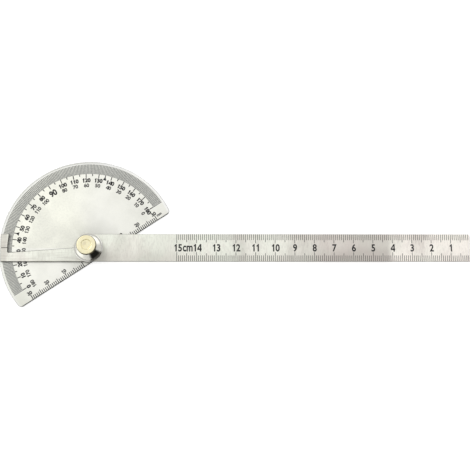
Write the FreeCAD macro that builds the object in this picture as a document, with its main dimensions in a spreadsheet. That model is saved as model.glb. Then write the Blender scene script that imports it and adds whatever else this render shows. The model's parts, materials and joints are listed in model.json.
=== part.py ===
import FreeCAD, Part
import math
import os
import Sketcher

# Swing-arm protractor in stainless steel. A half-round degree head lies flat, and a ruler arm with a pointer
# and an index tab swings on the stud at its centre. A thumb nut clamps the arm through a washer and a spring.
# Frame: the origin is on the pivot axis at the back of the head, +Z comes out of the graduated faces, and
# +X runs along the arm to the zero end of its ruler. Lengths are in millimetres, angles in degrees.
SIZES = (
    ("head_radius", 45.0, "round edge of the head, about the pivot"),
    ("head_base_drop", 7.0, "from the pivot down to the straight base edge"),
    ("head_thickness", 1.0, "sheet of the head"),
    ("head_corner_radius", 2.0, "rounding of the two base corners"),
    ("head_reading", 33.4, "angle that the pointer shows at rest"),
    ("edge_break", 0.12, "chamfer that takes the burr off the sheet parts"),
    ("arm_reach", 194.5, "from the pivot to the zero end of the ruler"),
    ("arm_width", 14.0, "ruler strip"),
    ("arm_thickness", 1.0, "sheet of the arm"),
    ("arm_tail_inset", 1.0, "the index tab stops this far inside the head's edge"),
    ("tab_width", 3.4, "index tab, along the arm"),
    ("tab_corner_radius", 0.5, "inside corner between the tab and the pointer"),
    ("pointer_root_width", 7.0, "pointer where it leaves the eye"),
    ("pointer_tip_width", 4.5, "pointer where it meets the index tab"),
    ("eye_fillet", 1.6, "inside corner between the eye and the pointer"),
    ("stud_head_radius", 4.2, "countersunk head, flush with the back"),
    ("stud_head_land", 0.25, "plain wall of the head's hole above the countersink"),
    ("stud_shoulder_radius", 3.0, "bearing that the arm turns on"),
    ("stud_shoulder_relief", 0.1, "the shoulder stops this far below the arm's face"),
    ("stud_thread_radius", 2.5, "outside of the fine thread"),
    ("stud_end_sink", 0.05, "the stud's end lies this far inside the nut"),
    ("stud_end_chamfer", 0.15, "lead at the end of the thread"),
    ("running_gap", 0.03, "radial clearance on the shoulder"),
    ("thread_gap", 0.05, "radial clearance on the thread"),
    ("washer_gap", 0.15, "radial clearance of the loose washers"),
    ("spacer_radius_inset", 0.6, "the spacer stays this far inside the arm's eye"),
    ("spacer_thickness", 0.3, "shim that keeps the arm off the scale"),
    ("spring_inset", 1.05, "the wave washer stays this far inside the clamp washer"),
    ("spring_sheet", 0.25, "strip of the wave washer"),
    ("spring_height", 0.45, "wave washer as the nut has squeezed it"),
    ("spring_touch_gap", 0.01, "air left at each crest of the wave washer"),
    ("clamp_overhang", 0.25, "the clamp washer reaches this far past the arm's edges"),
    ("clamp_thickness", 0.8, "clamp washer"),
    ("clamp_chamfer", 0.25, "chamfer round the top of the clamp washer"),
    ("nut_height", 8.45, "thumb nut over all"),
    ("nut_base_radius", 6.3, "foot of the bell"),
    ("nut_foot_height", 0.8, "upright edge of the foot"),
    ("nut_foot_chamfer", 0.15, "broken lower edge of the foot"),
    ("nut_bell_radius", 12.0, "hollow curve of the skirt"),
    ("nut_skirt_height", 3.0, "where the skirt meets the neck"),
    ("nut_neck_radius", 4.0, "plain neck under the rim"),
    ("nut_rim_radius", 4.9, "knurled rim"),
    ("nut_rim_height", 3.0, "knurled rim"),
    ("nut_rim_chamfer", 0.3, "chamfer at both ends of the rim"),
    ("nut_bore_lead", 0.15, "countersink at both ends of the nut's bore"),
    ("knurl_count", 44, "grooves round the rim"),
    ("knurl_depth", 0.24, "depth of a groove"),
    ("knurl_width", 0.46, "width of a groove at the rim"),
)
WAVES = 3
STATIONS_PER_WAVE = 12
OVERCUT = 1.0

# Places in the stack, as expressions on the sheet.
HEAD_TOP = "Sizes.head_thickness"
ARM_FLOOR = HEAD_TOP + " + Sizes.spacer_thickness"
ARM_TOP = ARM_FLOOR + " + Sizes.arm_thickness"
CLAMP_FLOOR = ARM_TOP + " + Sizes.spring_height"
NUT_FLOOR = CLAMP_FLOOR + " + Sizes.clamp_thickness"
NUT_TOP = NUT_FLOOR + " + Sizes.nut_height"
HALF_WIDTH = "Sizes.arm_width / 2"
ARM_TAIL = "(Sizes.head_radius - Sizes.arm_tail_inset)"
TAB_INNER = "(Sizes.head_radius - Sizes.arm_tail_inset - Sizes.tab_width)"
COUNTERSINK = "(Sizes.head_thickness - Sizes.stud_head_land)"
CLAMP_RADIUS = f"({HALF_WIDTH} + Sizes.clamp_overhang)"
NUT_BORE = "(Sizes.stud_thread_radius + Sizes.thread_gap)"


def make_sheet(doc):
    """The driving dimensions, one row each: a note, and the number under its alias."""
    sheet = doc.addObject("Spreadsheet::Sheet", "Sizes")
    for row, (name, number, note) in enumerate(SIZES, start=1):
        sheet.set(f"A{row}", note)
        sheet.set(f"B{row}", str(number))
        sheet.setAlias(f"B{row}", name)
    doc.recompute()
    return sheet


def value(expression):
    """The number that an expression on the sheet has now."""
    sheet = FreeCAD.ActiveDocument.getObject("Sizes")
    return float(sheet.evalExpression(str(expression)))


def new_body(doc, name, floor="0"):
    """An empty body whose own z = 0 sits at a height in the stack."""
    body = doc.addObject("PartDesign::Body", name)
    body.Label = name
    body.setExpression("Placement.Base.z", floor)
    return body


def new_sketch(body, name, role, offset=None):
    """A sketch on one of the body's own origin planes, lifted by an expression if one is given."""
    sketch = body.newObject("Sketcher::SketchObject", name)
    plane = next(f for f in body.Origin.OriginFeatures if f.Role == role)
    sketch.AttachmentSupport = [(plane, "")]
    sketch.MapMode = "FlatFace"
    if offset is not None:
        sketch.setExpression("AttachmentOffset.Base.z", offset)
    return sketch


def arc_between(start, end, radius, turn, large):
    """The arc from start to end, anticlockwise for turn +1 and clockwise for -1, and which end is which."""
    chord = end - start
    middle = (start + end) * 0.5
    rise = math.sqrt(max(radius**2 - (chord.Length / 2) ** 2, 0.0))
    side = FreeCAD.Vector(-chord.y, chord.x, 0).normalize()
    centre = middle + side * (rise * turn * (-1 if large else 1))
    first, last = (start, end) if turn > 0 else (end, start)
    angles = [math.atan2(p.y - centre.y, p.x - centre.x) for p in (first, last)]
    circle = Part.Circle(centre, FreeCAD.Vector(0, 0, 1), radius)
    return Part.ArcOfCircle(circle, *angles), (1, 2) if turn > 0 else (2, 1)


def closed_outline(sketch, corners):
    """Draws a closed outline through corners given as expressions, and fixes each by its two distances.

    A corner is (x, y), or (x, y, radius, turn, large) where an arc leaves it for the next corner.
    """
    spots = [FreeCAD.Vector(value(c[0]), value(c[1]), 0) for c in corners]
    ends = []
    for index, corner in enumerate(corners):
        start, end = spots[index], spots[(index + 1) % len(spots)]
        if len(corner) > 2:
            radius, turn, large = corner[2:]
            arc, order = arc_between(start, end, value(radius), turn, large)
            geometry = sketch.addGeometry(arc)
            place = sketch.addConstraint(Sketcher.Constraint("Radius", geometry, value(radius)))
            sketch.setExpression(f"Constraints[{place}]", radius)
        else:
            geometry, order = sketch.addGeometry(Part.LineSegment(start, end)), (1, 2)
        ends.append((geometry, *order))
    for index, (geometry, first, last) in enumerate(ends):
        after, after_first, _ = ends[(index + 1) % len(ends)]
        sketch.addConstraint(Sketcher.Constraint("Coincident", geometry, last, after, after_first))
        for kind, number, expression in (
            ("DistanceX", spots[index].x, corners[index][0]),
            ("DistanceY", spots[index].y, corners[index][1]),
        ):
            place = sketch.addConstraint(Sketcher.Constraint(kind, -1, 1, geometry, first, number))
            sketch.setExpression(f"Constraints[{place}]", expression)


def circle_outline(sketch, radius):
    """A circle on the sketch's origin, its radius an expression."""
    circle = Part.Circle(FreeCAD.Vector(), FreeCAD.Vector(0, 0, 1), value(radius))
    geometry = sketch.addGeometry(circle)
    sketch.addConstraint(Sketcher.Constraint("Coincident", geometry, 3, -1, 1))
    place = sketch.addConstraint(Sketcher.Constraint("Radius", geometry, value(radius)))
    sketch.setExpression(f"Constraints[{place}]", radius)


def pad(body, sketch, length):
    feature = body.newObject("PartDesign::Pad", sketch.Name + "Pad")
    feature.Profile = sketch
    feature.setExpression("Length", length)
    body.Document.recompute()
    return feature


def through_pocket(body, sketch):
    """Cuts the sketch upwards through the whole body, and makes sure that it took something away."""
    before = body.Shape.Volume
    feature = body.newObject("PartDesign::Pocket", sketch.Name + "Pocket")
    feature.Profile = sketch
    feature.Type = "ThroughAll"
    feature.Reversed = True
    body.Document.recompute()
    if feature.Shape.Volume >= before:
        raise RuntimeError(f"{feature.Name} cuts nothing")
    return feature


def revolution(body, sketch):
    feature = body.newObject("PartDesign::Revolution", sketch.Name + "Revolution")
    feature.Profile = sketch
    feature.ReferenceAxis = (sketch, ["V_Axis"])
    feature.Angle = 360.0
    body.Document.recompute()
    return feature


def edge_names(shape, wanted):
    """The names of the edges for which wanted(edge) holds."""
    return [f"Edge{i}" for i, edge in enumerate(shape.Edges, start=1) if wanted(edge)]


def is_upright(edge):
    first, last = edge.Vertexes[0].Point, edge.Vertexes[-1].Point
    return abs(first.x - last.x) + abs(first.y - last.y) < 1e-6 < abs(first.z - last.z)


def rounded(body, base, name, edges, radius):
    """Fillets the named edges of the feature base with a radius given as an expression."""
    feature = body.newObject("PartDesign::Fillet", name)
    feature.Base = (base, edges)
    feature.setExpression("Radius", radius)
    body.Document.recompute()
    return feature


def broken_edges(body, base, name, wanted, size):
    """Chamfers the edges of base that wanted picks, by a size given as an expression."""
    feature = body.newObject("PartDesign::Chamfer", name)
    feature.Base = (base, edge_names(base.Shape, wanted))
    feature.setExpression("Size", size)
    body.Document.recompute()
    return feature


def lies_at(edge, height):
    return all(abs(v.Point.z - height) < 1e-6 for v in edge.Vertexes)


def make_head(doc):
    """Half-round plate: a circle about the pivot, cut off square below it, with the stud's countersunk hole."""
    body = new_body(doc, "protractor_head")
    outline = new_sketch(body, "HeadOutline", "XY_Plane")
    corner_x = "sqrt(Sizes.head_radius ^ 2 - Sizes.head_base_drop ^ 2)"
    closed_outline(
        outline,
        [
            (corner_x, "-Sizes.head_base_drop", "Sizes.head_radius", 1, True),
            ("-" + corner_x, "-Sizes.head_base_drop"),
        ],
    )
    plate = pad(body, outline, "Sizes.head_thickness")
    corners = edge_names(plate.Shape, lambda e: is_upright(e) and e.Vertexes[0].Point.y < 0)
    plate = rounded(body, plate, "HeadCorners", corners, "Sizes.head_corner_radius")
    faces = (0.0, value("Sizes.head_thickness"))
    broken_edges(body, plate, "HeadEdges", lambda e: any(lies_at(e, z) for z in faces), "Sizes.edge_break")
    hole = new_sketch(body, "HeadHole", "XY_Plane")
    circle_outline(hole, "Sizes.stud_shoulder_radius")
    through_pocket(body, hole)
    countersink = new_sketch(body, "HeadCountersink", "XZ_Plane")
    closed_outline(
        countersink,
        [
            ("0", "0"),
            ("Sizes.stud_head_radius", "0"),
            ("Sizes.stud_shoulder_radius", COUNTERSINK),
            ("0", COUNTERSINK),
        ],
    )
    groove = body.newObject("PartDesign::Groove", "HeadCountersinkGroove")
    groove.Profile = countersink
    groove.ReferenceAxis = (countersink, ["V_Axis"])
    groove.Angle = 360.0
    body.Placement.Rotation = FreeCAD.Rotation(FreeCAD.Vector(0, 0, 1), 1.0)
    body.setExpression("Placement.Rotation.Angle", "Sizes.head_reading")
    return body


def make_arm(doc):
    """Ruler strip with a notch cut behind the eye, which leaves the slim pointer and the index tab."""
    body = new_body(doc, "ruler_arm", ARM_FLOOR)
    strip = new_sketch(body, "ArmStrip", "XY_Plane")
    closed_outline(
        strip,
        [
            ("-" + ARM_TAIL, "-" + HALF_WIDTH),
            ("Sizes.arm_reach", "-" + HALF_WIDTH),
            ("Sizes.arm_reach", HALF_WIDTH),
            ("-" + ARM_TAIL, HALF_WIDTH),
        ],
    )
    pad(body, strip, "Sizes.arm_thickness")
    root_y = f"(Sizes.pointer_root_width - {HALF_WIDTH})"
    tip_y = f"(Sizes.pointer_tip_width - {HALF_WIDTH})"
    above = f"({HALF_WIDTH} + {OVERCUT})"
    notch = new_sketch(body, "ArmNotch", "XY_Plane")
    closed_outline(
        notch,
        [
            ("0", above),
            (f"-sqrt({TAB_INNER} ^ 2 - {above} ^ 2)", above, TAB_INNER, 1, False),
            (f"-sqrt({TAB_INNER} ^ 2 - {tip_y} ^ 2)", tip_y),
            (f"-sqrt(({HALF_WIDTH}) ^ 2 - {root_y} ^ 2)", root_y, HALF_WIDTH, -1, False),
            ("0", HALF_WIDTH),
        ],
    )
    blank = through_pocket(body, notch)
    eye, tab = value(HALF_WIDTH), value(TAB_INNER)

    def inside_corner(edge, reach):
        point = edge.Vertexes[0].Point
        return is_upright(edge) and abs(math.hypot(point.x, point.y) - reach) < 1e-4 and point.y < eye - 1e-4

    at_eye = edge_names(blank.Shape, lambda e: inside_corner(e, eye) and e.Vertexes[0].Point.x < 0)
    blank = rounded(body, blank, "ArmEyeFillet", at_eye, "Sizes.eye_fillet")
    at_tab = edge_names(blank.Shape, lambda e: inside_corner(e, tab))
    blank = rounded(body, blank, "ArmTabFillet", at_tab, "Sizes.tab_corner_radius")
    hole = new_sketch(body, "ArmHole", "XY_Plane")
    circle_outline(hole, "Sizes.stud_shoulder_radius + Sizes.running_gap")
    blank = through_pocket(body, hole)
    top = value("Sizes.arm_thickness")
    broken_edges(body, blank, "ArmEdges", lambda e: lies_at(e, top), "Sizes.edge_break")
    return body


def make_stud(doc):
    """Turned brass stud: countersunk head, plain shoulder for the arm, and the thread for the nut."""
    body = new_body(doc, "pivot_stud")
    profile = new_sketch(body, "StudProfile", "XZ_Plane")
    shoulder_top = f"({ARM_TOP} - Sizes.stud_shoulder_relief)"
    end = f"({NUT_TOP} - Sizes.stud_end_sink)"
    closed_outline(
        profile,
        [
            ("0", "0"),
            ("Sizes.stud_head_radius", "0"),
            ("Sizes.stud_shoulder_radius", COUNTERSINK),
            ("Sizes.stud_shoulder_radius", shoulder_top),
            ("Sizes.stud_thread_radius", shoulder_top),
            ("Sizes.stud_thread_radius", f"{end} - Sizes.stud_end_chamfer"),
            ("Sizes.stud_thread_radius - Sizes.stud_end_chamfer", end),
            ("0", end),
        ],
    )
    revolution(body, profile)
    return body


def make_ring(doc, name, floor, outer, inner, thickness):
    """A flat washer, its sizes given as expressions."""
    body = new_body(doc, name, floor)
    disc = new_sketch(body, name.title().replace("_", "") + "Face", "XY_Plane")
    circle_outline(disc, outer)
    circle_outline(disc, inner)
    pad(body, disc, thickness)
    return body


def make_spacer(doc):
    return make_ring(
        doc,
        "spacer_washer",
        HEAD_TOP,
        f"{HALF_WIDTH} - Sizes.spacer_radius_inset",
        "Sizes.stud_shoulder_radius + Sizes.running_gap",
        "Sizes.spacer_thickness",
    )


def make_clamp_washer(doc):
    """Broad chamfered washer, which spreads the nut's pressure over the arm's eye."""
    body = make_ring(
        doc,
        "clamp_washer",
        CLAMP_FLOOR,
        CLAMP_RADIUS,
        "Sizes.stud_thread_radius + Sizes.washer_gap",
        "Sizes.clamp_thickness",
    )
    top, rim = value("Sizes.clamp_thickness"), value(CLAMP_RADIUS)
    broken_edges(
        body,
        body.Tip,
        "ClampRim",
        lambda e: lies_at(e, top) and abs(e.BoundBox.XMax - rim) < 1e-4,
        "Sizes.clamp_chamfer",
    )
    return body


def make_wave_washer(doc):
    """Spring washer: a rectangle carried round the stud while its height follows a cosine of three waves."""
    inner = value("Sizes.stud_thread_radius + Sizes.washer_gap")
    outer = value(CLAMP_RADIUS + " - Sizes.spring_inset")
    sheet = value("Sizes.spring_sheet")
    touch = value("Sizes.spring_touch_gap")
    swing = (value("Sizes.spring_height") - sheet) / 2 - touch
    sections = []
    for station in range(WAVES * STATIONS_PER_WAVE):
        angle = 2 * math.pi * station / (WAVES * STATIONS_PER_WAVE)
        low = touch + swing * (1 + math.cos(WAVES * angle))
        outward = FreeCAD.Vector(math.cos(angle), math.sin(angle), 0)
        corners = [(inner, low), (outer, low), (outer, low + sheet), (inner, low + sheet)]
        points = [outward * radius + FreeCAD.Vector(0, 0, height) for radius, height in corners]
        sections.append(Part.makePolygon(points + points[:1]))
    feature = doc.addObject("Part::Feature", "wave_washer")
    feature.Label = "wave_washer"
    feature.Shape = Part.makeLoft(sections, True, True, True)
    feature.Placement.Base.z = value(ARM_TOP)
    return feature


def make_nut(doc):
    """Turned thumb nut: a foot with a hollow skirt, a neck, and a straight-knurled rim with a flat turned face."""
    body = new_body(doc, "thumb_nut", NUT_FLOOR)
    profile = new_sketch(body, "NutProfile", "XZ_Plane")
    rim_floor = "(Sizes.nut_height - Sizes.nut_rim_height)"
    neck_height = f"({rim_floor} - (Sizes.nut_rim_radius - Sizes.nut_neck_radius) / 2)"
    closed_outline(
        profile,
        [
            (f"{NUT_BORE} + Sizes.nut_bore_lead", "0"),
            ("Sizes.nut_base_radius - Sizes.nut_foot_chamfer", "0"),
            ("Sizes.nut_base_radius", "Sizes.nut_foot_chamfer"),
            ("Sizes.nut_base_radius", "Sizes.nut_foot_height"),
            ("Sizes.nut_base_radius - Sizes.nut_foot_chamfer", "Sizes.nut_foot_height + Sizes.nut_foot_chamfer",
             "Sizes.nut_bell_radius", -1, False),
            ("Sizes.nut_neck_radius", "Sizes.nut_skirt_height"),
            ("Sizes.nut_neck_radius", neck_height),
            ("Sizes.nut_rim_radius - Sizes.nut_rim_chamfer / 2", rim_floor),
            ("Sizes.nut_rim_radius", f"{rim_floor} + Sizes.nut_rim_chamfer / 2"),
            ("Sizes.nut_rim_radius", "Sizes.nut_height - Sizes.nut_rim_chamfer"),
            ("Sizes.nut_rim_radius - Sizes.nut_rim_chamfer", "Sizes.nut_height"),
            (f"{NUT_BORE} + Sizes.nut_bore_lead", "Sizes.nut_height"),
            (NUT_BORE, "Sizes.nut_height - Sizes.nut_bore_lead"),
            (NUT_BORE, "Sizes.nut_bore_lead"),
        ],
    )
    turned = revolution(body, profile)
    groove = new_sketch(body, "NutKnurl", "XY_Plane", "Sizes.nut_height")
    closed_outline(
        groove,
        [
            ("Sizes.nut_rim_radius - Sizes.knurl_depth", "0"),
            (f"Sizes.nut_rim_radius + {OVERCUT}", f"-Sizes.knurl_width / 2 * (1 + {OVERCUT} / Sizes.knurl_depth)"),
            (f"Sizes.nut_rim_radius + {OVERCUT}", f"Sizes.knurl_width / 2 * (1 + {OVERCUT} / Sizes.knurl_depth)"),
        ],
    )
    cut = body.newObject("PartDesign::Pocket", "NutKnurlPocket")
    cut.Profile = groove
    cut.setExpression("Length", "Sizes.nut_rim_height")
    doc.recompute()
    if cut.Shape.Volume >= turned.Shape.Volume:
        raise RuntimeError("the knurl cuts nothing")
    knurl = body.newObject("PartDesign::PolarPattern", "NutKnurlPattern")
    knurl.Originals = [cut]
    knurl.Axis = (groove, ["N_Axis"])
    knurl.Angle = 360.0
    knurl.setExpression("Occurrences", "Sizes.knurl_count")
    body.Tip = knurl
    return body


def check_and_export(doc, pieces):
    """Stops on a failed object or a bad shape, then writes one STEP file for each piece."""
    doc.recompute()
    failed = [o.Label for o in doc.Objects if {"Invalid", "Error"} & set(o.State)]
    if failed:
        raise RuntimeError(f"these objects failed: {failed}")
    os.makedirs("parts", exist_ok=True)
    for piece in pieces:
        shape = piece.Shape
        if shape.isNull() or not shape.isValid() or not shape.Solids:
            raise RuntimeError(f"{piece.Label} has no valid solid")
    for piece in pieces:
        piece.Shape.exportStep(f"parts/{piece.Label}.step")
        print(f"{piece.Label}: {len(piece.Shape.Solids)} solid, {piece.Shape.Volume:.2f} mm3")


def main():
    doc = FreeCAD.newDocument("Protractor")
    make_sheet(doc)
    pieces = [
        make_head(doc),
        make_arm(doc),
        make_stud(doc),
        make_spacer(doc),
        make_wave_washer(doc),
        make_clamp_washer(doc),
        make_nut(doc),
    ]
    check_and_export(doc, pieces)


main()
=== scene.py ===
"""Scales, figures, finishes and studio for a steel protractor with a swinging ruler arm.

Everything is in metres, in the part's own frame: the pivot is the Z axis, the back of the head lies at
z = 0, and +X runs along the arm to the zero end of its ruler.
"""

import json
import math
from functools import reduce

import bmesh
import bpy
import numpy as np
from bpy.props import FloatProperty, FloatVectorProperty, IntProperty, PointerProperty
from mathutils import Matrix, Vector


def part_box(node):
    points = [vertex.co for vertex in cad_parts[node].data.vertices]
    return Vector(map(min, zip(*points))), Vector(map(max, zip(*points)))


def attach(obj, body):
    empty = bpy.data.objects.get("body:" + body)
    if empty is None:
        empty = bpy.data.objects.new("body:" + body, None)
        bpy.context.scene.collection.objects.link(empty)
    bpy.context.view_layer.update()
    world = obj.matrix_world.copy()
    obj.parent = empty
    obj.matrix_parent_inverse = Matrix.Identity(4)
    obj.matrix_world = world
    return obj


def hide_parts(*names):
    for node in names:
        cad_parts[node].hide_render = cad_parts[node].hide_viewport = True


bl_info = {
    "name": "Swing-Arm Protractor",
    "version": (1, 0, 0),
    "blender": (4, 5, 0),
    "location": "View3D > Sidebar > Protractor",
    "description": "Scales, figures and finishes of a steel protractor with a swinging ruler arm",
    "category": "Object",
}

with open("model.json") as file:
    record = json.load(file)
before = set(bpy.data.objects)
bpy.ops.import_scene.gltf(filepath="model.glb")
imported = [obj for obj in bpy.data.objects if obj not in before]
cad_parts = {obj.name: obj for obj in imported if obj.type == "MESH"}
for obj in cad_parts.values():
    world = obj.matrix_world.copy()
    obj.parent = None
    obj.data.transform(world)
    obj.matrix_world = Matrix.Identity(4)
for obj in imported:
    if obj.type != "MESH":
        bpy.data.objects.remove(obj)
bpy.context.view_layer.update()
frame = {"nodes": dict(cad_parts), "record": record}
NODES = frame["nodes"]
MM = 0.001
FACE_GAP = 0.00001
FILL_DEPTH = 0.00003
LEVEL = (1.0, 1.0, 0.0)


def mount_axis(name):
    """The direction of one of the part's mounts."""
    return next(m["axis"] for m in frame["record"]["mounts"] if m["name"] == name)


HEAD_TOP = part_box("protractor_head")[1].z
ARM_LOW, (ARM_END, ARM_HALF_WIDTH, ARM_TOP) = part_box("ruler_arm")
ARM_TAIL = -ARM_LOW.x
NUT_LOW, (NUT_FOOT_RADIUS, _, NUT_TOP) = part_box("thumb_nut")
NUT_FLOOR = NUT_LOW.z
BASE_NORMAL = mount_axis("base_edge")
READING = math.atan2(BASE_NORMAL[0], -BASE_NORMAL[1])
BASE_ALONG = (math.cos(READING), math.sin(READING), 0.0)


def length(name, description, default):
    return FloatProperty(
        name=name, description=description, default=default, min=0.0, unit="LENGTH", precision=5
    )


def offset(name, description, default):
    return FloatProperty(name=name, description=description, default=default, unit="LENGTH")


def lean(name, description, degrees):
    return FloatProperty(name=name, description=description, default=math.radians(degrees), subtype="ANGLE")


def number(name, description, default):
    return FloatProperty(name=name, description=description, default=default, min=0.0)


def tint(name, description, default):
    return FloatVectorProperty(
        name=name, description=description, default=default, size=3, min=0.0, max=1.0, subtype="COLOR"
    )


class DegreeScaleSettings(bpy.types.PropertyGroup):
    """Sizes of the half-round degree scale, measured from the pivot."""

    ring_outer: length("Line End", "Outer end of every degree line", 0.0437)
    ring_inner: length("Degree Line", "Inner end of the one-degree lines", 0.0386)
    five_inner: length("Five-Degree Line", "Inner end of the five-degree lines", 0.0375)
    ten_inner: length("Ten-Degree Line", "Inner end of the ten-degree lines", 0.0366)
    line_width: length("Line Width", "Width of a degree line", 0.00054)
    long_width: length("Long Line Width", "Width of the longer lines inside the ring", 0.00043)
    outer_figures: length("Outer Figures", "Middle of the bold row", 0.0353)
    outer_weight: number("Outer Weight", "Thickening of the bold strokes, in font sizes", 0.055)
    outer_height: length("Outer Height", "Height of the bold figures", 0.0019)
    outer_pitch: length("Outer Pitch", "From one bold digit to the next", 0.00142)
    inner_figures: length("Inner Figures", "Middle of the light row, which counts back", 0.03265)
    inner_height: length("Inner Height", "Height of the light figures", 0.0018)
    inner_pitch: length("Inner Pitch", "From one light digit to the next", 0.0013)
    inner_weight: number("Inner Weight", "Thickening of the light strokes", 0.042)
    right_angle_figures: length("Right Angle Figures", "Middle of the figure at the right angle", 0.0341)
    right_angle_height: length("Right Angle Height", "Height of the figure at the right angle", 0.0029)
    right_angle_pitch: length("Right Angle Pitch", "From its one digit to the next", 0.0019)
    right_angle_weight: number("Right Angle Weight", "Thickening of its strokes", 0.045)
    arrow_point: length("Arrow Point", "Outer point of the two arrowheads at half a right angle", 0.0379)
    arrow_back: length("Arrow Back", "Inner side of the two arrowheads", 0.0360)


class BaseScaleSettings(bpy.types.PropertyGroup):
    """Sizes of the millimetre scale along the straight edge of the head."""

    drop: length("Edge", "Distance from the pivot to the straight edge", 0.007)
    start: length("Start", "Distance from the pivot's foot to each zero", 0.0068)
    inset: length("Inset", "From the edge to the lines", 0.00015)
    span: IntProperty(name="Span", description="Millimetres on each side", default=30, min=10)
    line_width: length("Line Width", "Width of a filled line", 0.00042)
    one_line: length("Millimetre Line", "Length of the one-millimetre lines", 0.0019)
    five_line: length("Five-Millimetre Line", "Length of the five-millimetre lines", 0.0025)
    ten_line: length("Ten-Millimetre Line", "Length of the ten-millimetre lines", 0.0028)
    figures: length("Figures", "Middle of the figures, from the edge", 0.0038)
    figure_height: length("Figure Height", "Height of the figures", 0.00165)
    figure_pitch: length("Figure Pitch", "From one digit to the next", 0.00125)
    figure_weight: number("Figure Weight", "Thickening of the strokes, in font sizes", 0.045)
    unit_across: length("Unit Across", "From the last line to the middle of the unit", 0.0023)
    unit_up: length("Unit Up", "From the edge to the middle of the unit", 0.00225)
    unit_height: length("Unit Height", "Digit height that the unit is scaled to", 0.00132)
    unit_pitch: length("Unit Pitch", "Digit pitch that the unit is scaled to", 0.0009)


class RulerSettings(bpy.types.PropertyGroup):
    """Sizes of the arm's ruler, which counts back from the square end."""

    span: IntProperty(name="Span", description="Millimetres on the ruler", default=150, min=10)
    inset: length("Inset", "From the long edges to the lines", 0.00015)
    line_width: length("Line Width", "Width of a filled line", 0.00027)
    one_line: length("Millimetre Line", "Length of the one-millimetre lines", 0.0029)
    five_line: length("Five-Millimetre Line", "Length of the five-millimetre lines", 0.0040)
    ten_line: length("Ten-Millimetre Line", "Length of the ten-millimetre lines", 0.0045)
    figure_height: length("Figure Height", "Height of the figures", 0.00352)
    figure_pitch: length("Figure Pitch", "From one digit to the next", 0.00215)
    figure_weight: number("Figure Weight", "Thickening of the strokes, in font sizes", 0.030)
    figure_nudge: length("Figure Nudge", "From a line to the middle of its figure", 0.00015)
    last_nudge: length("Last Nudge", "The same for the last figure, beside the unit", 0.00065)
    next_nudge: length("Next Nudge", "The same for the figure before the last", 0.0004)
    unit_height: length("Unit Height", "Height that the letters of the unit are scaled to", 0.0041)
    unit_weight: number("Unit Weight", "Thickening of the unit's strokes", 0.026)
    unit_across: length("Unit Across", "From the last line to the middle of the unit", 0.0056)
    index_width: length("Index Width", "Width of the index line on the tab", 0.00028)
    index_gap: length("Index Gap", "From the tab's end to the index line", 0.0003)
    index_inner: length("Index End", "Inner end of the index line, from the pivot", 0.0407)


class NutSettings(bpy.types.PropertyGroup):
    """Sizes of the turned thumb nut, its heights counted from its foot."""

    bore: length("Bore Radius", "Radius of the threaded bore", 0.00255)
    lead: length("Bore Lead", "Countersink at both ends of the bore", 0.00006)
    foot: length("Foot Height", "Upright edge of the foot", 0.0008)
    break_edge: length("Foot Chamfer", "Broken edges of the foot", 0.00015)
    neck: length("Neck Radius", "Plain neck under the rim", 0.0040)
    bell: length("Bell Radius", "Hollow curve of the skirt", 0.0120)
    skirt: length("Skirt Height", "Where the skirt meets the neck", 0.0030)
    rim: length("Rim Radius", "Outside of the knurled rim", 0.0049)
    rim_height: length("Rim Height", "Height of the knurled rim", 0.003)
    rim_chamfer: length("Rim Chamfer", "Chamfer at the top of the rim", 0.0003)
    knurls: IntProperty(name="Knurl Grooves", description="Grooves round the rim", default=44, min=12)
    knurl_depth: length("Knurl Depth", "Depth of a groove", 0.00024)


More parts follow.
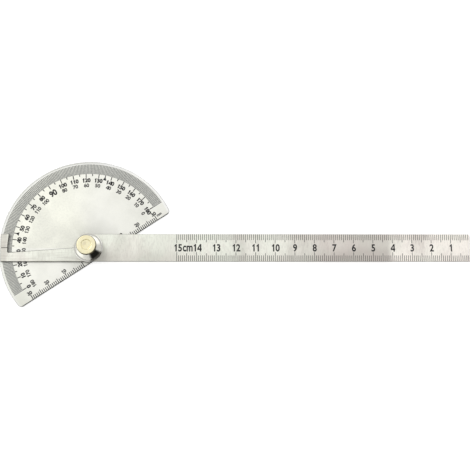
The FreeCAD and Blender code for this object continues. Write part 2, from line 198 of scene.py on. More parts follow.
class FinishSettings(bpy.types.PropertyGroup):
    """Colours of the metals, of the fill in the engraved lines, and of the painted light and shade on them.
    """

    head: tint("Head Steel", "Satin sheet of the head", (0.925, 0.925, 0.825))
    head_shade: tint("Head Shade", "Duller patches of the head", (0.74, 0.74, 0.675))
    # Painted reflection: the greyer fan right of the nut stands in for the sheet mirroring its surround.
    head_worn: tint("Head Worn", "Greyer side of the head", (0.925, 0.922, 0.872))
    # One colour for the painted shade round the nut, the painted shade line on the brim and the head's
    # mottle.
    head_rubbed: tint("Head Rubbed", "Painted shade round the nut and on the brim, and mottle", (0.60, 0.60, 0.55))
    head_corner: tint("Head Corner", "Darker left corner", (0.66, 0.67, 0.58))
    # Painted light and shade: the border is painted lighter than the head, and darker on its upper side.
    border: tint("Border", "Bare border outside the degree ring", (0.985, 0.985, 0.96))
    border_dull: tint("Border Shade", "The same border, on its upper side", (0.865, 0.87, 0.865))
    arm: tint("Arm Steel", "Satin sheet of the arm", (0.97, 0.965, 0.89))
    # The arm's shade colour darkens its patches and also paints a reflection on the ruler.
    arm_shade: tint("Arm Shade", "Duller patches of the arm", (0.60, 0.575, 0.53))
    arm_near: tint("Near Tinge", "Greenish tinge near the pivot", (0.975, 1.0, 0.975))
    arm_far: tint("Far Tinge", "Pinkish tinge near the zero end", (1.0, 0.955, 0.96))
    # Painted shade: the dark line along the pointer's upper edge.
    lip: tint("Pointer Shade Line", "Dark upper edge of the pointer", (0.12, 0.12, 0.11))
    # The cut sides are darker steel, darkened further as painted shade beside the edges.
    edge: tint("Sheared Edge", "Cut sides of the sheets", (0.09, 0.087, 0.08))
    grey: tint("Plain Steel", "Spring strip and shim", (0.42, 0.41, 0.38))
    brass: tint("Turned Brass", "Top of the nut", (0.97, 0.905, 0.63))
    brass_shade: tint("Brown Brass", "Tarnish in the turning marks", (0.80, 0.70, 0.42))
    # Patina in the knurl, and also painted shade on the nut's rim and on the washer.
    patina: tint("Brass Patina", "Patina in the knurl, and painted shade", (0.060, 0.048, 0.030))
    # Painted reflection: the darker wedge of a turned face, on the stud's end.
    brass_worn: tint("Wedge Brass", "Painted darker wedge on the stud's end", (0.80, 0.73, 0.51))
    nickel: tint("Nickel Plate", "Bell of the nut", (0.82, 0.81, 0.74))
    # Painted reflection: a black patch on the bell, where the skirt would mirror a dark surround.
    oil: tint("Dark Reflection", "Painted dark reflection on the bell", (0.028, 0.026, 0.022))
    washer: tint("Washer", "Flat of the clamp washer", (0.93, 0.92, 0.865))
    # Painted shade: the washer's walls are darker than its flat.
    washer_side: tint("Washer Side", "Walls of the clamp washer", (0.80, 0.79, 0.745))
    fill: tint("Line Fill", "Enamel in the bold lines and figures", (0.012, 0.012, 0.013))
    ring_fill: tint("Worn Line Fill", "Worn enamel in the degree ring", (0.200, 0.203, 0.192))
    light_fill: tint("Light Line Fill", "Thinner enamel in the light lines and figures", (0.03, 0.03, 0.03))


class StageSettings(bpy.types.PropertyGroup):
    """Where the camera stands and how the studio is lit."""

    focal_px: FloatProperty(name="Focal Length", description="In pixels of a frame 470 wide", default=900.0)
    pitch: lean("Pitch", "Lean of the view", -10.22)
    yaw: lean("Yaw", "Sideways lean", 1.91)
    roll: lean("Roll", "Turn of the frame", 0.28)
    shift_x: offset("Pivot Across", "The pivot, across the view", -0.074)
    shift_y: offset("Pivot Up", "The pivot, up the view", -0.0064)
    distance: length("Distance", "From the camera to the pivot, along the view", 0.4544)
    key: FloatProperty(name="Key Lamp", description="Power of the lamp", default=2.5, unit="POWER")
    sky: FloatProperty(name="Surround", description="Strength of the pale surround", default=1.0)


# Shapes: each is its points and its blocks of faces, all whole arrays.


def prisms(footprints, low, high):
    """Upright prisms on convex footprints (count, corners, 2), anticlockwise, from low to high."""
    count, corners, _ = footprints.shape
    floor = np.concatenate([footprints, np.full((count, corners, 1), low)], axis=2)
    roof = np.concatenate([footprints, np.full((count, corners, 1), high)], axis=2)
    points = np.concatenate([floor, roof], axis=1).reshape(-1, 3)
    ring = np.arange(corners)
    first = (np.arange(count) * 2 * corners)[:, None]
    sides = np.stack([ring, np.roll(ring, -1), np.roll(ring, -1) + corners, ring + corners], axis=1)
    walls = (first[:, :, None] + sides[None]).reshape(-1, 4)
    return points, [walls, first + ring[::-1], first + ring + corners]


def bars(start, end, width):
    """Rectangles round the lines from start to end (count, 2): each end moved half the width."""
    along = end - start
    along = along / np.linalg.norm(along, axis=1, keepdims=True)
    side = np.stack([-along[:, 1], along[:, 0]], axis=1) * (width / 2)
    return np.stack([start - side, end - side, end + side, start + side], axis=1)


def at_angle(radius, angle):
    """Points at a radius and an angle from the pivot: radius times the cosine and sine of the angle."""
    return np.stack([radius * np.cos(angle), radius * np.sin(angle)], axis=-1)


def turned(points, angle):
    """Points (..., 2) turned about the pivot by an angle."""
    turn = np.array([[math.cos(angle), math.sin(angle)], [-math.sin(angle), math.cos(angle)]])
    return points @ turn


def revolved(profile, segments, radius_change=None):
    """A closed profile (count, 2) of radius and height carried round the Z axis.

    A point is the radius times the cosine and the sine of the angle, and the height. radius_change takes
    all radii, heights and angles and returns what is taken off the radius.
    """
    angle = np.linspace(0.0, 2 * np.pi, segments, endpoint=False)
    radius = np.repeat(profile[:, :1], segments, axis=1)
    height = np.repeat(profile[:, 1:], segments, axis=1)
    if radius_change is not None:
        radius = radius - radius_change(radius, height, angle[None, :])
    grid = np.stack([radius * np.cos(angle), radius * np.sin(angle), height], axis=-1)
    rows = np.arange(len(profile))[:, None] * segments
    next_rows = np.roll(np.arange(len(profile)), -1)[:, None] * segments
    columns, next_columns = np.arange(segments)[None], np.roll(np.arange(segments), -1)[None]
    quads = np.stack(
        [rows + columns, rows + next_columns, next_rows + next_columns, next_rows + columns], axis=-1
    )
    return grid.reshape(-1, 3), [quads.reshape(-1, 4)]


def joined(shapes):
    """Several shapes as one: each block of faces is counted on from the points before it."""
    firsts = np.cumsum([0] + [len(points) for points, _ in shapes])
    blocks = [block + first for (_, own), first in zip(shapes, firsts) for block in own]
    return np.concatenate([points for points, _ in shapes]), blocks


def marked(steps, one, five, ten):
    """A value for each step of a scale: one for tens, one for other fives, one for the rest."""
    return np.where(steps % 10 == 0, ten, np.where(steps % 10 == 5, five, one))


def new_piece(name, shape, material, body, smooth=False):
    """A mesh object at the origin made from a shape, riding on a body of the part."""
    points, blocks = shape
    mesh = bpy.data.meshes.new(name)
    mesh.from_pydata(points, [], [face for block in blocks for face in block.tolist()])
    mesh.update()
    mesh.materials.append(material)
    mesh.polygons.foreach_set("use_smooth", np.full(len(mesh.polygons), smooth))
    piece = bpy.data.objects.new(name, mesh)
    bpy.context.scene.collection.objects.link(piece)
    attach(piece, body)
    return piece


FONT_DIGIT_HEIGHT = 0.691
FONT_DIGIT_PITCH = 0.5


def flat_curve(*outlines):
    """A flat curve with a closed polygon for each outline."""
    curve = bpy.data.curves.new("digit", "CURVE")
    curve.dimensions = "2D"
    curve.fill_mode = "BOTH"
    for corners in outlines:
        spline = curve.splines.new("POLY")
        spline.points.add(len(corners) - 1)
        spline.points.foreach_set("co", np.array([(x, y, 0.0, 1.0) for x, y in corners]).ravel())
        spline.use_cyclic_u = True
    return curve


def one_curve(weight):
    """The digit 1 as a flat outline: a bar with a short flag, thickened by the weight."""
    bar, top, low = 0.049 + weight, FONT_DIGIT_HEIGHT + weight, -weight
    return flat_curve([
        (0.03 - bar, low), (0.03 + bar, low), (0.03 + bar, top), (0.03 - bar * 0.7, top),
        (-0.05, top - 0.09), (-0.16, 0.56 + weight), (-0.16, 0.47 - weight), (0.03 - bar, 0.53 - weight),
    ])


def four_curve(weight):
    """The digit 4 as a flat outline round an open triangle, thickened by the weight."""
    bar, top = 0.048 + weight, FONT_DIGIT_HEIGHT + weight
    outline = [
        (0.07, -weight), (0.07 + 2 * bar, -weight), (0.07 + 2 * bar, 0.20 - bar),
        (0.25 + bar * 0.3, 0.20 - bar),
        (0.25 + bar * 0.3, 0.20 + bar), (0.07 + 2 * bar, 0.20 + bar), (0.07 + 2 * bar, top), (0.07, top),
        (-0.22 - weight, 0.20 + bar), (-0.22 - weight, 0.20 - bar), (0.07, 0.20 - bar),
    ]
    hollow = [(0.07, 0.20 + bar), (0.07, top - 0.16 - weight), (-0.10 + weight, 0.20 + bar)]
    return flat_curve(outline, hollow)


def letter_curve(text, weight):
    """A digit or a word in Blender's own font, centred, thickened by the weight on every side."""
    curve = bpy.data.curves.new("letters", "FONT")
    curve.body = text
    curve.align_x = "CENTER"
    curve.offset = weight
    curve.resolution_u = 4
    return curve


def slab(curve):
    """The closed solid of a flat curve, from -0.5 to 0.5, as a shape."""
    curve.extrude = 0.5
    holder = bpy.data.objects.new("slab", curve)
    bpy.context.scene.collection.objects.link(holder)
    mesh = bpy.data.meshes.new_from_object(holder.evaluated_get(bpy.context.evaluated_depsgraph_get()))
    shell = bmesh.new()
    shell.from_mesh(mesh)
    bmesh.ops.remove_doubles(shell, verts=shell.verts, dist=1e-5)
    bmesh.ops.triangulate(shell, faces=shell.faces)
    bmesh.ops.recalc_face_normals(shell, faces=shell.faces)
    shell.to_mesh(mesh)
    shell.free()
    points = np.empty(len(mesh.vertices) * 3)
    mesh.vertices.foreach_get("co", points)
    faces = np.empty(len(mesh.polygons) * 3, dtype=np.int32)
    mesh.polygons.foreach_get("vertices", faces)
    bpy.data.objects.remove(holder)
    bpy.data.curves.remove(curve)
    bpy.data.meshes.remove(mesh)
    return points.reshape(-1, 3), [faces.reshape(-1, 3)]


def figures(labels, height, pitch, low, high, weight):
    """Flat figures. Each label is (text, centre, angle), upright at angle 0, from low to high.

    A number is set digit by digit at the pitch, and a word as the font sets it.
    """
    cache, shapes = {}, []
    stretch = np.array([pitch / FONT_DIGIT_PITCH, height / FONT_DIGIT_HEIGHT])
    for text, centre, angle in labels:
        for index, part in enumerate(text if text.isdigit() else [text]):
            if part not in cache:
                own = {"1": one_curve, "4": four_curve}.get(part)
                cache[part] = slab(own(weight) if own else letter_curve(part, weight))
            points, faces = cache[part]
            across = (index - (len(text) - 1) / 2) * FONT_DIGIT_PITCH if text.isdigit() else 0.0
            flat = (points[:, :2] + [across, -FONT_DIGIT_HEIGHT / 2]) * stretch
            level = np.where(points[:, 2:] > 0, high, low)
            shapes.append((np.concatenate([turned(flat, angle) + centre, level], axis=1), faces))
    return joined(shapes)


# Materials.

CELL = 200
FLOAT, COLOUR, VECTOR = "NodeSocketFloat", "NodeSocketColor", "NodeSocketVector"


class Net:
    """A shader tree filled node by node. A value is a number, a vector, a colour or a node's socket."""

    def __init__(self, tree):
        tree.nodes.clear()
        self.tree = tree
        self.rows = {}

    def add(self, kind, inputs=None, **settings):
        """A node with its settings and inputs, in the column after the nodes that feed it."""
        node = self.tree.nodes.new(kind)
        for name, value in settings.items():
            setattr(node, name, value)
        column = 0
        for name, value in (inputs or {}).items():
            socket = node.inputs[name]
            if isinstance(value, bpy.types.NodeSocket):
                self.tree.links.new(value, socket)
                column = max(column, value.node.location.x // CELL + 1)
            else:
                socket.default_value = (*value[:3], 1.0) if socket.type == "RGBA" else value
        self.rows[column] = self.rows.get(column, 0) + 1
        node.location = (column * CELL, -self.rows[column] * CELL)
        return node

    def math(self, operation, *values, clamp=False):
        """The output of a Math node."""
        inputs = dict(enumerate(values))
        return self.add("ShaderNodeMath", inputs, operation=operation, use_clamp=clamp).outputs[0]

    def vector(self, operation, *values):
        """The output of a Vector Math node, which is a number for a length or a dot product."""
        node = self.add("ShaderNodeVectorMath", dict(enumerate(values)), operation=operation)
        return node.outputs["Value" if operation in ("LENGTH", "DOT_PRODUCT") else "Vector"]

    def product(self, *values):
        """All the values multiplied."""
        return reduce(lambda first, second: self.math("MULTIPLY", first, second), values)

    def total(self, *values):
        """All the values added up, held between 0 and 1 after each."""
        return reduce(lambda first, second: self.math("ADD", first, second, clamp=True), values)

    def step(self, value, low, high, before=0.0, after=1.0):
        """A smooth step from one level to another, while the value goes from low to high."""
        inputs = {"Value": value, "From Min": low, "From Max": high, "To Min": before, "To Max": after}
        return self.add("ShaderNodeMapRange", inputs, interpolation_type="SMOOTHSTEP").outputs["Result"]

    def band(self, value, span, level=1.0):
        """Up to a level between the first two values of the span, and down again between the last two."""
        return self.product(self.step(value, *span[:2], 0.0, level), self.step(value, *span[2:], 1.0, 0.0))

    def mix(self, share, first, second):
        """Two colours mixed by the share of the second."""
        return self.add("ShaderNodeMix", {0: share, 6: first, 7: second}, data_type="RGBA").outputs[2]

    def noise(self, vector, scale, detail=3.0, distortion=0.0):
        """The value of a Noise Texture."""
        inputs = {"Vector": vector, "Scale": scale, "Detail": detail, "Distortion": distortion}
        return self.add("ShaderNodeTexNoise", {**inputs, "Roughness": 0.55}).outputs[0]

    def split(self, vector):
        """The X, Y and Z of a vector."""
        return self.add("ShaderNodeSeparateXYZ", {0: vector}).outputs

    def group(self, name, maker, vector, **values):
        """The outputs of a shader group, which is made the first time that it is asked for."""
        tree = bpy.data.node_groups.get(name) or maker(name)
        inputs = {socket.replace("_", " "): value for socket, value in values.items()}
        return self.add("ShaderNodeGroup", {"Vector": vector, **inputs}, node_tree=tree).outputs


def new_group(name, inputs, outputs):
    """An empty shader group on a vector and other inputs. Returns its net and what it is given."""
    tree = bpy.data.node_groups.new(name, "ShaderNodeTree")
    for socket, kind in {"Vector": VECTOR, **inputs}.items():
        tree.interface.new_socket(socket, in_out="INPUT", socket_type=kind)
    for socket, kind in outputs.items():
        tree.interface.new_socket(socket, in_out="OUTPUT", socket_type=kind)
    net = Net(tree)
    return net, net.add("NodeGroupInput").outputs


def brushed_grain_group(name):
    """Long fine scratches: noise on coordinates squeezed by lines per metre on each axis."""
    net, given = new_group(name, {"Lines": VECTOR}, {"Grain": FLOAT})
    squeezed = net.vector("MULTIPLY", given["Vector"], given["Lines"])
    grain = net.math("SUBTRACT", net.noise(squeezed, 1.0, detail=2.0), 0.5)
    net.add("NodeGroupOutput", {"Grain": grain})
    return net.tree


def rolled_tone_group(name):
    """Cloudy tone of rolled sheet: the sum of two noises mixes the clean colour and the shade."""
    net, given = new_group(
        name,
        {"Clean": COLOUR, "Shade": COLOUR, "Cloud Scale": FLOAT, "Speck Scale": FLOAT,
         "Shade Amount": FLOAT},
        {"Colour": COLOUR, "Mask": FLOAT},
    )
    clouds = net.noise(given["Vector"], given["Cloud Scale"], distortion=0.4)
    specks = net.noise(given["Vector"], given["Speck Scale"], detail=2.0)
    both = net.math("ADD", net.step(clouds, 0.42, 0.72), net.step(specks, 0.42, 0.66, 0.0, 0.5))
    mask = net.math("MULTIPLY", both, given["Shade Amount"], clamp=True)
    net.add("NodeGroupOutput", {"Colour": net.mix(mask, given["Clean"], given["Shade"]), "Mask": mask})
    return net.tree


def turning_marks_group(name):
    """Rings about the Z axis: a sine of the distance from the axis, bent a little by noise."""
    net, given = new_group(name, {"Rings": FLOAT, "Uneven": FLOAT}, {"Height": FLOAT, "Distance": FLOAT})
    distance = net.vector("LENGTH", net.vector("MULTIPLY", given["Vector"], LEVEL))
    bend = net.product(net.noise(given["Vector"], 300.0), given["Uneven"])
    phase = net.math("ADD", net.product(distance, given["Rings"], 2 * math.pi), bend)
    height = net.math("MULTIPLY_ADD", net.math("SINE", phase), 0.5, 0.5)
    net.add("NodeGroupOutput", {"Height": height, "Distance": distance})
    return net.tree


def new_material(name):
    """An empty material. Returns it with its net and the coordinates of the object."""
    material = bpy.data.materials.new(name)
    material.use_nodes = True
    net = Net(material.node_tree)
    return material, net, net.add("ShaderNodeTexCoord").outputs["Object"]


def close_material(net, inputs, height, strength, depth):
    """Ends a material with a Principled shader, its inputs given by name, and a bump from a height."""
    bump = net.add("ShaderNodeBump", {"Strength": strength, "Distance": depth, "Height": height})
    shader = net.add("ShaderNodeBsdfPrincipled", {**inputs, "Normal": bump.outputs[0]})
    net.add("ShaderNodeOutputMaterial", {"Surface": shader.outputs[0]})


def sheared_side_mask(net):
    """1 on the cut sides of a flat sheet, less on their broken edges and 0 on its faces."""
    _, _, upright = net.split(net.add("ShaderNodeNewGeometry").outputs["True Normal"])
    return net.step(net.math("ABSOLUTE", upright), 0.72, 0.97, 1.0, 0.0)


def bearing_mask(net, place, side, low, high):
    """Smooth step of the cosine between a point's bearing from the Z axis and a level direction."""
    bearing = net.vector("NORMALIZE", net.vector("MULTIPLY", place, LEVEL))
    return net.step(net.vector("DOT_PRODUCT", bearing, (*side, 0.0)), low, high)


def sheet_material(name, finish, clean, shade, finishing, clouds, amount, stretch, lines):
    """Satin rolled sheet: cloudy tone, fine grain in lines per metre, and darker cut sides, partly painted
    shade.
    """
    material, net, place = new_material(name)
    tone = net.group(
        "Rolled Sheet Tone", rolled_tone_group, net.vector("MULTIPLY", place, stretch),
        Clean=clean, Shade=shade, Cloud_Scale=clouds, Speck_Scale=1500.0, Shade_Amount=amount,
    )
    colour = finishing(net, place, tone["Colour"], finish)
    grain = net.group("Brushed Grain", brushed_grain_group, place, Lines=lines)["Grain"]
    rough = net.total(net.step(tone["Mask"], 0.0, 1.0, 0.46, 0.54), net.product(grain, 0.12))
    # Cut sides take the edge colour: darker steel and painted shade.
    inputs = {"Base Color": net.mix(sheared_side_mask(net), colour, finish.edge), "Roughness": rough}
    close_material(net, {**inputs, "Metallic": 1.0}, grain, 0.25, 0.00001)
    return material


# Spans of the arm along X, from the pivot: where a darker place begins, is full, is still full and ends.
TAB_END = (-0.0420, -0.0395)
POINTER_SPAN = (-0.0405, -0.0401, -0.0098, -0.0092)
EYE_SPAN = (-0.020, -0.012, 0.006, 0.012)
LOW_SIDE_SPAN = (-0.010, 0.0, 0.02, 0.05)
PATCH_SPAN = (0.030, 0.038, 0.044, 0.052)
# The next span is the painted reflection on the ruler.
RULER_REFLECTION_SPAN = (0.090, 0.142, 0.1510, 0.1560)
POINTER_NORMAL = (-0.07437, 0.99723, 0.0)


def arm_finishing(net, place, colour, finish):
    """The arm's own places, by smooth steps of X and Y.

    The shade colour lies on the tab, the eye, the low margin of the ruler, the low side and a patch beside
    the eye, and in streaks along the left end. A darker stretch of the ruler is painted reflection, and a
    painted shade line follows the pointer's upper edge. The tinge goes from greenish to pinkish along X.
    """
    x, y, _ = net.split(place)
    # Painted reflection: a darker stretch of the ruler, darker still on its low half.
    ruler = net.product(net.band(x, RULER_REFLECTION_SPAN), net.step(y, -0.003, 0.002, 1.0, 0.74))
    margin = net.product(net.step(y, -0.006, -0.001, 0.24, 0.0), net.step(x, 0.142, 0.156, 1.0, 0.1))
    tab = net.step(x, *TAB_END, 0.80, 0.0)
    streaks = net.noise(net.vector("MULTIPLY", place, (0.06, 1.0, 1.0)), 1300.0, detail=2.0)
    streaks = net.step(streaks, 0.42, 0.66, 0.0, 0.26)
    streaks = net.product(streaks, net.step(x, -0.002, 0.010, 1.0, 0.0))
    low_side = net.product(net.step(y, -0.0045, 0.0025, 0.20, 0.0), net.band(x, LOW_SIDE_SPAN))
    # One share of the shade: darker places and streaks, and the painted reflection on the ruler.
    dull = net.total(
        net.math("MAXIMUM", net.total(ruler, margin), tab),
        net.band(x, EYE_SPAN, 0.16), streaks, low_side, net.band(x, PATCH_SPAN, 0.17),
    )
    # Painted shade line along the pointer's upper edge, darker towards the tab.
    outward = net.vector("DOT_PRODUCT", place, POINTER_NORMAL)
    lip = net.product(
        net.step(outward, 0.00028, 0.00036, 0.0, 0.8),
        net.band(x, POINTER_SPAN), net.step(x, -0.0400, -0.0090, 1.0, 0.25),
    )
    colour = net.mix(lip, net.mix(dull, colour, finish.arm_shade), finish.lip)
    ripple = net.step(net.noise(place, 70.0, detail=2.0), 0.3, 0.7, -0.3, 0.3)
    share = net.total(net.step(x, 0.03, 0.16, 0.1, 0.85), ripple)
    return net.vector("MULTIPLY", colour, net.mix(share, finish.arm_near, finish.arm_far))


# Spans of the head, by distance from the pivot, and level directions from it.
# The first span below holds the painted shade round the nut.
NUT_HALO_SPAN = (0.004, 0.0185)
BORDER_START = (0.0436, 0.0440)
BRIM_SPAN = (0.0440, 0.0443, 0.0446, 0.0449)
BASE_LINE_START = (0.00660, 0.00670)
HEAD_HALO_FADE_SIDE = (-0.906, 0.423)
HEAD_UPPER_SIDE = (-0.55, 0.835)


def head_finishing(net, place, colour, finish):
    """The head's own places, by smooth steps of the distance from the pivot and of the bearing from it.

    It has a painted greyer reflection in a fan right of the nut, painted shade round the nut, and a mottle
    all over. The border outside the ring is painted lighter, with painted shade on its upper side and a
    painted shade line along its brim there. The left corner is darker, and a line of painted shade follows
    the base edge.
    """
    reach = net.vector("LENGTH", place)
    x, y, _ = net.split(place)
    # Painted reflection: a greyer fan right of the nut, weaker further out.
    fan = net.step(net.math("ARCTAN2", y, x), 2.2, 1.3)
    fan = net.product(fan, net.step(reach, 0.010, 0.030, 1.0, 0.75), 0.85)
    colour = net.mix(fan, colour, finish.head_worn)

    # Painted shade on the upper side of the border, which is painted lighter elsewhere.
    upper = bearing_mask(net, place, HEAD_UPPER_SIDE, 0.35, 0.75)
    border = net.mix(upper, finish.border, finish.border_dull)
    colour = net.mix(net.step(reach, *BORDER_START, 0.0, 0.85), colour, border)

    # Painted shade: a darker halo on the head round the nut, weaker on the left.
    halo_fade = net.step(bearing_mask(net, place, HEAD_HALO_FADE_SIDE, 0.80, 0.97), 0.0, 1.0, 1.0, 0.35)
    nut_halo_shade = net.product(net.step(reach, *NUT_HALO_SPAN, 0.62, 0.0), halo_fade)
    mottled = net.step(net.noise(place, 85.0), 0.36, 0.66, 0.0, 0.20)
    # Painted shade: a dark line along the brim of the sheet, on its upper side.
    brim = net.band(reach, BRIM_SPAN, 0.85)
    brim = net.product(brim, bearing_mask(net, place, HEAD_UPPER_SIDE, 0.55, 0.92))
    colour = net.mix(net.total(nut_halo_shade, mottled, brim), colour, finish.head_rubbed)

    # Darker towards the left corner.
    corner = net.step(net.vector("DOT_PRODUCT", place, BASE_ALONG), -0.044, -0.030, 0.42, 0.0)
    colour = net.mix(corner, colour, finish.head_corner)
    # Painted shade: a dark line on the face along the base edge, in the colour of the cut sides.
    outward = net.vector("DOT_PRODUCT", place, BASE_NORMAL)
    return net.mix(net.step(outward, *BASE_LINE_START, 0.0, 0.9), colour, finish.edge)


def enamel_material(name):
    """Enamel in the engraved lines, a little uneven, made the first time that it is asked for."""
    if name in bpy.data.materials:
        return bpy.data.materials[name]
    colour = getattr(bpy.context.scene.protractor_finish, ENAMELS[name])
    material, net, place = new_material(name)
    specks = net.noise(place, 2500.0)
    thin = [channel * 1.8 + 0.01 for channel in colour]
    inputs = {
        "Base Color": net.mix(net.step(specks, 0.3, 0.7), colour, thin),
        "Roughness": net.step(specks, 0.3, 0.7, 0.45, 0.65),
        "Specular IOR Level": 0.3,
    }
    close_material(net, inputs, specks, 0.3, 0.00001)
    return material


RIM_FLOOR = NUT_TOP - 0.0032
RIM_SHOULDER = (NUT_TOP - 0.00035, NUT_TOP - 0.0002)
RIM_FLAT = (NUT_TOP - 0.0001, NUT_TOP - 0.00002)
GROOVE_RADII = (0.00472, 0.00488)
BRIM_RADII = (0.00458, 0.00470)
# The side away from the lamp, where painted shade lies on the rim.
NUT_SHADED_SIDE = (0.5, -0.866)
# Bearing of the painted dark reflection on the bell.
NUT_REFLECTION_SIDE = (0.676, -0.737)
WASHER_SHADE_SIDE = (0.656, -0.755)
STUD_WEDGE_SIDE = (-0.80, 0.60)


def nut_material(finish):
    """Nickel-plated skirt with a painted dark reflection, and a brass rim.

    The rim has turning marks on its flat top and patina in its grooves. Round its brim is patina with
    painted shade, and painted shade lies on its side away from the lamp.
    """
    material, net, place = new_material("turned_nut")
    marks = net.group("Turning Marks", turning_marks_group, place, Rings=2600.0, Uneven=1.2)
    _, _, z = net.split(place)
    rim = net.step(z, RIM_FLOOR, RIM_FLOOR + 0.00015)
    tarnish = net.step(net.noise(place, 420.0, detail=4.0), 0.45, 0.75, 0.0, 0.55)
    # Painted shade on the rim's side away from the lamp; the grooves hold patina.
    shaded_side = net.step(bearing_mask(net, place, NUT_SHADED_SIDE, 0.2, 0.7), 0.0, 1.0, 0.3, 0.97)
    groove = net.step(marks["Distance"], *GROOVE_RADII, 0.95, 0.0)
    side = net.product(net.step(z, *RIM_SHOULDER, 1.0, 0.0), net.math("MAXIMUM", shaded_side, groove))
    # A dark band round the brim: patina, with painted shade seen down the grooves.
    brim = net.step(marks["Distance"], *BRIM_RADII, 0.0, 0.80)
    dirt_and_shade = net.product(net.math("MAXIMUM", side, brim), rim)
    brass = net.mix(dirt_and_shade, net.mix(tarnish, finish.brass, finish.brass_shade), finish.patina)
    # Painted reflection: the black patch on the bell, fixed at one bearing.
    dark_reflection_share = bearing_mask(net, place, NUT_REFLECTION_SIDE, 0.84, 0.95)
    rough = net.step(rim, 0.0, 1.0, 0.13, net.step(z, *RIM_FLAT, 0.2, 0.42))
    inputs = {
        "Base Color": net.mix(rim, net.mix(dark_reflection_share, finish.nickel, finish.oil), brass),
        "Metallic": net.math("SUBTRACT", 1.0, dirt_and_shade),
        "Roughness": net.total(rough, net.product(tarnish, 0.12)),
        "Specular IOR Level": 0.0,
    }
    close_material(net, inputs, marks["Height"], 0.22, 0.00002)
    return material


def turned_material(name, colouring, rough, rougher):
    """Turned metal with faint rings. Its colour comes from the place, the tarnish and the distance."""
    material, net, place = new_material(name)
    marks = net.group("Turning Marks", turning_marks_group, place, Rings=3500.0, Uneven=0.8)
    tarnish = net.noise(place, 500.0, detail=4.0)
    inputs = {
        "Base Color": colouring(net, place, tarnish, marks["Distance"]),
        "Roughness": net.step(tarnish, 0.3, 0.7, rough, rougher),
        "Metallic": 1.0,
    }
    close_material(net, inputs, marks["Height"], 0.15, 0.00001)
    return material


def tarnished(colour, shade):
    """Colouring of plain turned metal: the colour, with the shade in the tarnish."""

    def colouring(net, place, tarnish, distance):
        return net.mix(net.step(tarnish, 0.4, 0.75, 0.0, 0.6), colour, shade)

    return colouring


def stud_colouring(finish):
    """Tarnished brass, with a painted dark reflection in a wedge fading away from the middle of the stud.
    """

    def colouring(net, place, tarnish, distance):
        metal = tarnished(finish.brass, finish.brass_shade)(net, place, tarnish, distance)
        inside = net.step(distance, 0.0013, 0.0021, 1.0, 0.2)
        # Painted reflection: a darker wedge on the stud's end, fixed at one bearing.
        wedge = net.product(bearing_mask(net, place, STUD_WEDGE_SIDE, 0.3, 0.9), inside)
        return net.mix(wedge, metal, finish.brass_worn)

    return colouring


def washer_colouring(finish):
    """Bright nickel with walls painted darker as shade, and a crescent of painted shade away from the lamp.
    """

    def colouring(net, place, tarnish, distance):
        metal = net.mix(sheared_side_mask(net), finish.washer, finish.washer_side)
        spread = net.step(tarnish, 0.3, 0.7, 0.8, 0.97)
        # Painted shade: a dark crescent on the washer's flat, on the side away from the lamp.
        shade_crescent = net.product(bearing_mask(net, place, WASHER_SHADE_SIDE, 0.80, 0.93), spread)
        return net.mix(shade_crescent, metal, finish.patina)

    return colouring


ENAMELS = {"black_enamel": "fill", "thin_enamel": "light_fill", "worn_enamel": "ring_fill"}


def engraved(name, enamel, body, *shapes):
    """A piece of filled lines or figures in the face of the head or the arm."""
    return new_piece(name, joined(shapes), enamel_material(enamel), body)


def dress_node(node, material):
    """Gives a node of the part one finish all over."""
    slots = NODES[node].material_slots
    for place in slots:
        place.material = material
    if not slots:
        NODES[node].data.materials.append(material)


# Operators.


class PROTRACTOR_OT_sheet_finishes(bpy.types.Operator):
    """Satin finishes of the head and the arm, and the metals of the small pieces"""

    bl_idname = "protractor.sheet_finishes"
    bl_label = "Metal Finishes"

    def execute(self, context):
        finish = context.scene.protractor_finish
        grey, dull = finish.grey, finish.arm_shade
        finishes = {
            "protractor_head": sheet_material(
                "head_sheet", finish, finish.head, finish.head_shade, head_finishing,
                clouds=35.0, amount=0.55, stretch=(1.0, 1.0, 1.0), lines=(1500.0, 1500.0, 9000.0),
            ),
            "ruler_arm": sheet_material(
                "arm_sheet", finish, finish.arm, dull, arm_finishing,
                clouds=110.0, amount=0.45, stretch=(1.0, 0.35, 1.0), lines=(120.0, 9000.0, 9000.0),
            ),
            "clamp_washer": turned_material("nickel_washer", washer_colouring(finish), 0.14, 0.22),
            "pivot_stud": turned_material("brass_stud", stud_colouring(finish), 0.38, 0.48),
            "spacer_washer": turned_material("steel_shim", tarnished(dull, grey), 0.35, 0.45),
            "wave_washer": turned_material("spring_strip", tarnished(grey, dull), 0.3, 0.4),
        }
        for node, material in finishes.items():
            dress_node(node, material)
        return {"FINISHED"}


